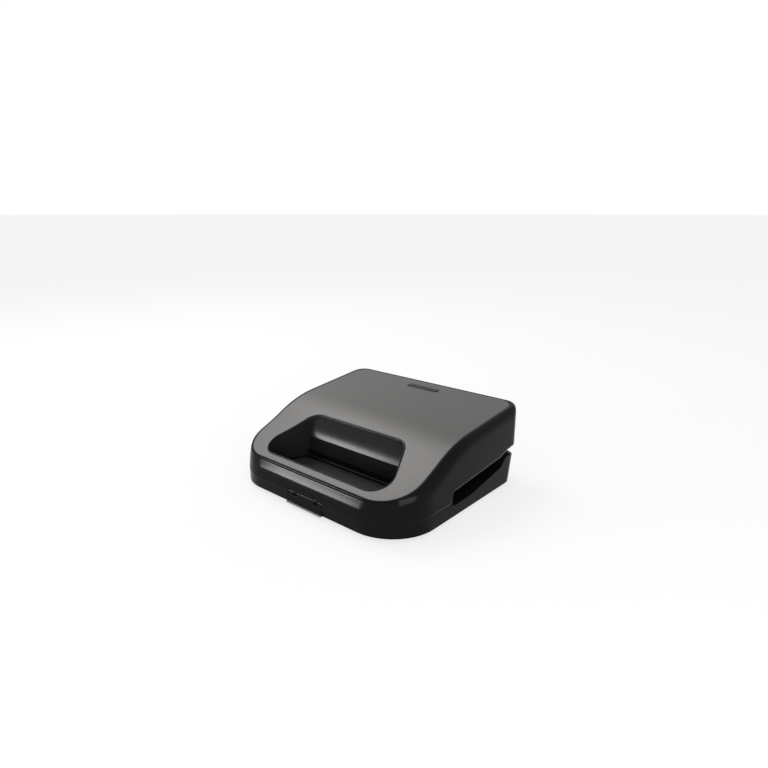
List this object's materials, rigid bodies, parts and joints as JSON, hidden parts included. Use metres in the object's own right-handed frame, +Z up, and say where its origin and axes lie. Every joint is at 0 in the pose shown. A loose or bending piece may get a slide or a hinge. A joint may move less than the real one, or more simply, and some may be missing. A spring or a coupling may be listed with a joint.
{
  "type": "sandwich maker",
  "caption": "Closed clamshell sandwich maker with a sloped brushed-steel lid, a finger opening as handle, black housing, front clip and removable triangle plates.",
  "frame": {"origin": "on the table, in the middle of the machine's box", "axes": "+X to the right seen from the front, +Y to the back, +Z up"},
  "size_m": [0.26, 0.228, 0.0942],
  "materials": {
    "housing": "gloss black",
    "lid_sheet": "dark brushed",
    "deck_liner": "gloss black",
    "inner_plastic": "fine matte black",
    "cooking_plate": "matte black non-stick coat",
    "rubber_foot": "matte",
    "bright_steel": "plain steel",
    "heat_shield": "bright sheet",
    "smoked_lens": "smoked clear plastic",
    "lamp_red": "clear red",
    "lamp_green": "clear green",
    "circuit_board": "green lacquer",
    "white_plastic": "white",
    "latch_plastic": "gloss black",
    "catch_plastic": "grey"
  },
  "bodies": {
    "base": {"base_shell": "housing", "base_cover": "inner_plastic", "foot_front_left": "rubber_foot", "foot_front_right": "rubber_foot", "foot_rear_left": "rubber_foot", "foot_rear_right": "rubber_foot", "base_screw_1": "bright_steel", "base_screw_2": "bright_steel", "base_screw_3": "bright_steel", "base_screw_4": "bright_steel", "lower_plate": "cooking_plate", "lower_heater": "bright_steel", "lower_reflector": "heat_shield", "lower_clip_left": "bright_steel", "lower_clip_right": "bright_steel", "thermostat": "bright_steel", "terminal_block": "white_plastic", "cord_gland": "inner_plastic", "hinge_pin_left": "bright_steel", "hinge_pin_right": "bright_steel"},
    "lid": {"lid_shell": "housing", "lid_skin": "lid_sheet", "handle_grip": "deck_liner", "handle_cover": "inner_plastic", "lid_frame": "inner_plastic", "upper_plate": "cooking_plate", "upper_heater": "bright_steel", "upper_reflector": "heat_shield", "upper_clip_left": "bright_steel", "upper_clip_right": "bright_steel", "thermal_fuse": "white_plastic", "indicator_lens": "smoked_lens", "lamp_power": "lamp_red", "lamp_ready": "lamp_green", "lamp_board": "circuit_board", "latch_pin": "bright_steel", "lid_screw_1": "bright_steel", "lid_screw_2": "bright_steel", "lid_screw_3": "bright_steel", "lid_screw_4": "bright_steel", "lid_screw_5": "bright_steel", "lid_screw_6": "bright_steel"},
    "latch": {"latch_clip": "latch_plastic"},
    "lower_catch_left": {"lower_catch_left": "catch_plastic"},
    "lower_catch_right": {"lower_catch_right": "catch_plastic"},
    "upper_catch_left": {"upper_catch_left": "catch_plastic"},
    "upper_catch_right": {"upper_catch_right": "catch_plastic"}
  },
  "joints": [
    {"name": "lid_hinge", "type": "hinge", "parent": "base", "child": "lid", "pos_m": [0, 0.1064, 0.041], "axis": [-1, 0, 0], "range_deg": [0, 95]},
    {"name": "latch_swing", "type": "hinge", "parent": "lid", "child": "latch", "pos_m": [0, -0.1082, 0.0164], "axis": [-1, 0, 0], "range_deg": [-11, 50]},
    {"name": "lower_catch_left_slide", "type": "slide", "parent": "base", "child": "lower_catch_left", "axis": [0, -1, 0], "range_m": [0, 0.0035], "stiffness_N_per_m": 200},
    {"name": "lower_catch_right_slide", "type": "slide", "parent": "base", "child": "lower_catch_right", "axis": [0, -1, 0], "range_m": [0, 0.0035], "stiffness_N_per_m": 200},
    {"name": "upper_catch_left_slide", "type": "slide", "parent": "lid", "child": "upper_catch_left", "axis": [0, -1, 0], "range_m": [0, 0.0035], "stiffness_N_per_m": 200},
    {"name": "upper_catch_right_slide", "type": "slide", "parent": "lid", "child": "upper_catch_right", "axis": [0, -1, 0], "range_m": [0, 0.0035], "stiffness_N_per_m": 200}
  ]
}
